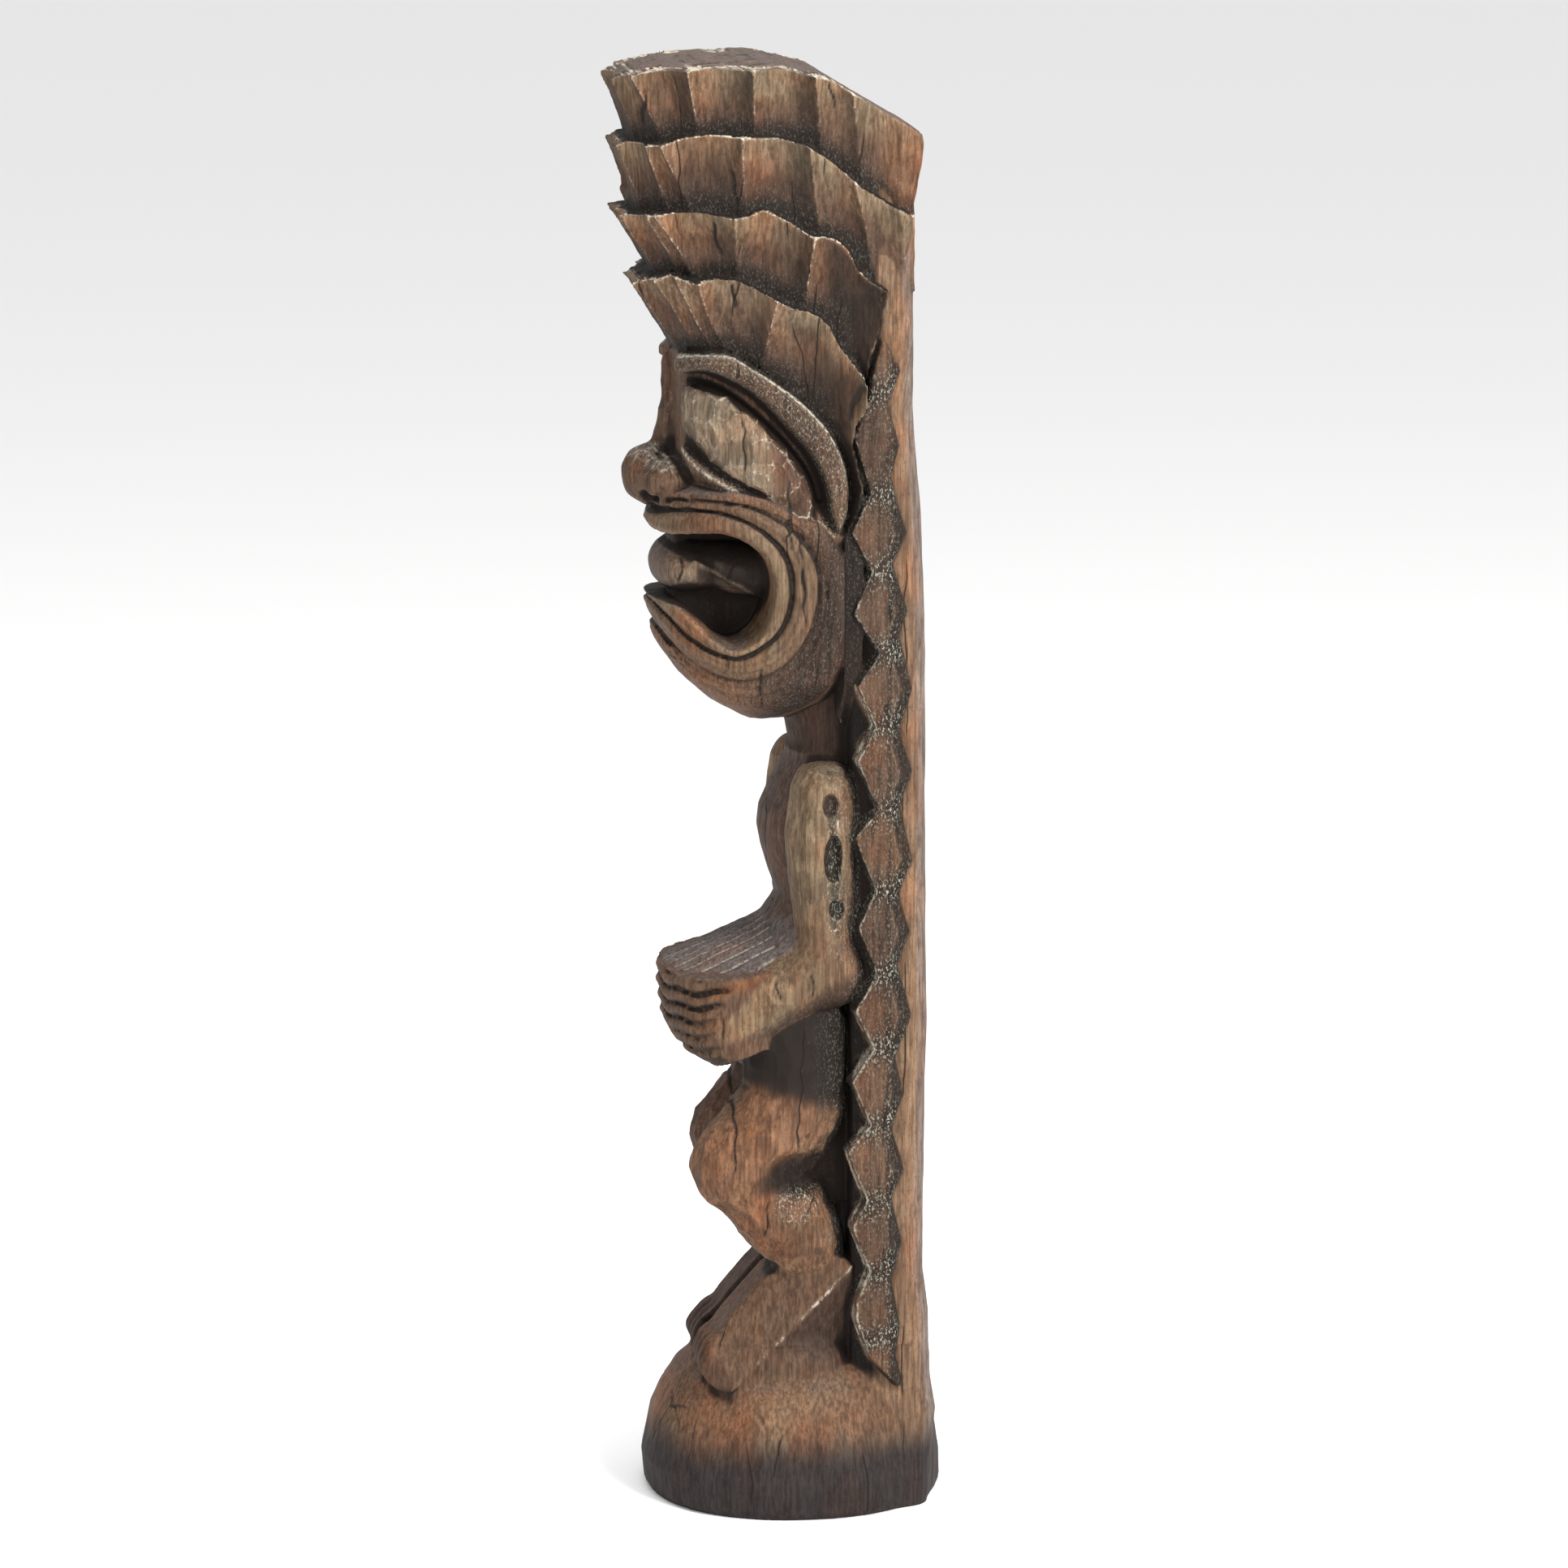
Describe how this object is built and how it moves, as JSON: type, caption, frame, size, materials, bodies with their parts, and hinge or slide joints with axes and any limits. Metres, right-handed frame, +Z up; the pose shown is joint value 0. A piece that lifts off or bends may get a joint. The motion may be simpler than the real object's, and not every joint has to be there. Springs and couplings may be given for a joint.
{
  "type": "carved tiki figure",
  "caption": "Standing carved wooden tiki figure with a tiered fluted crown, an open round mouth, hands held at the belly, bent knees, a round base and a tall back post with notched hair strips.",
  "frame": {"origin": "middle of the underside, below the middle of the whole figure's box", "axes": "+Z up; the figure faces -Y and its left side is at +X"},
  "size_m": [0.2524, 0.2841, 1.2048],
  "materials": {
    "wood_brown": "mid brown stain with dark recesses and pale dry-brushed edges, matt",
    "wood_rust": "orange-brown stain that darkens to near black at the foot, matt",
    "wood_dark": "dark brown wash with pale green-white flecks, matt",
    "wood_tan": "tan stain worn pale on the carved edges, matt",
    "wood_grey": "weathered grey-lilac brown, matt"
  },
  "bodies": {
    "root": {"back_post": "wood_brown", "crown_tier_1": "wood_brown", "crown_tier_2": "wood_brown", "crown_tier_3": "wood_brown", "crown_tier_4": "wood_brown", "foot_left": "wood_brown", "foot_right": "wood_brown", "hand_left": "wood_brown", "hand_right": "wood_brown", "head_block": "wood_brown", "hips": "wood_brown", "jaw": "wood_brown", "lower_lid_left": "wood_brown", "lower_lid_right": "wood_brown", "nose": "wood_brown", "shin_left": "wood_brown", "shin_right": "wood_brown", "thigh_left": "wood_brown", "thigh_right": "wood_brown", "torso": "wood_brown", "base_block": "wood_rust", "brow_left": "wood_dark", "brow_right": "wood_dark", "hair_strip_left": "wood_dark", "hair_strip_right": "wood_dark", "neck": "wood_dark", "eye_left": "wood_tan", "eye_right": "wood_tan", "forearm_left": "wood_tan", "forearm_right": "wood_tan", "lower_lip": "wood_tan", "upper_arm_left": "wood_tan", "upper_arm_right": "wood_tan", "upper_lip": "wood_tan", "belly": "wood_grey", "tongue": "wood_grey"}
  },
  "joints": []
}
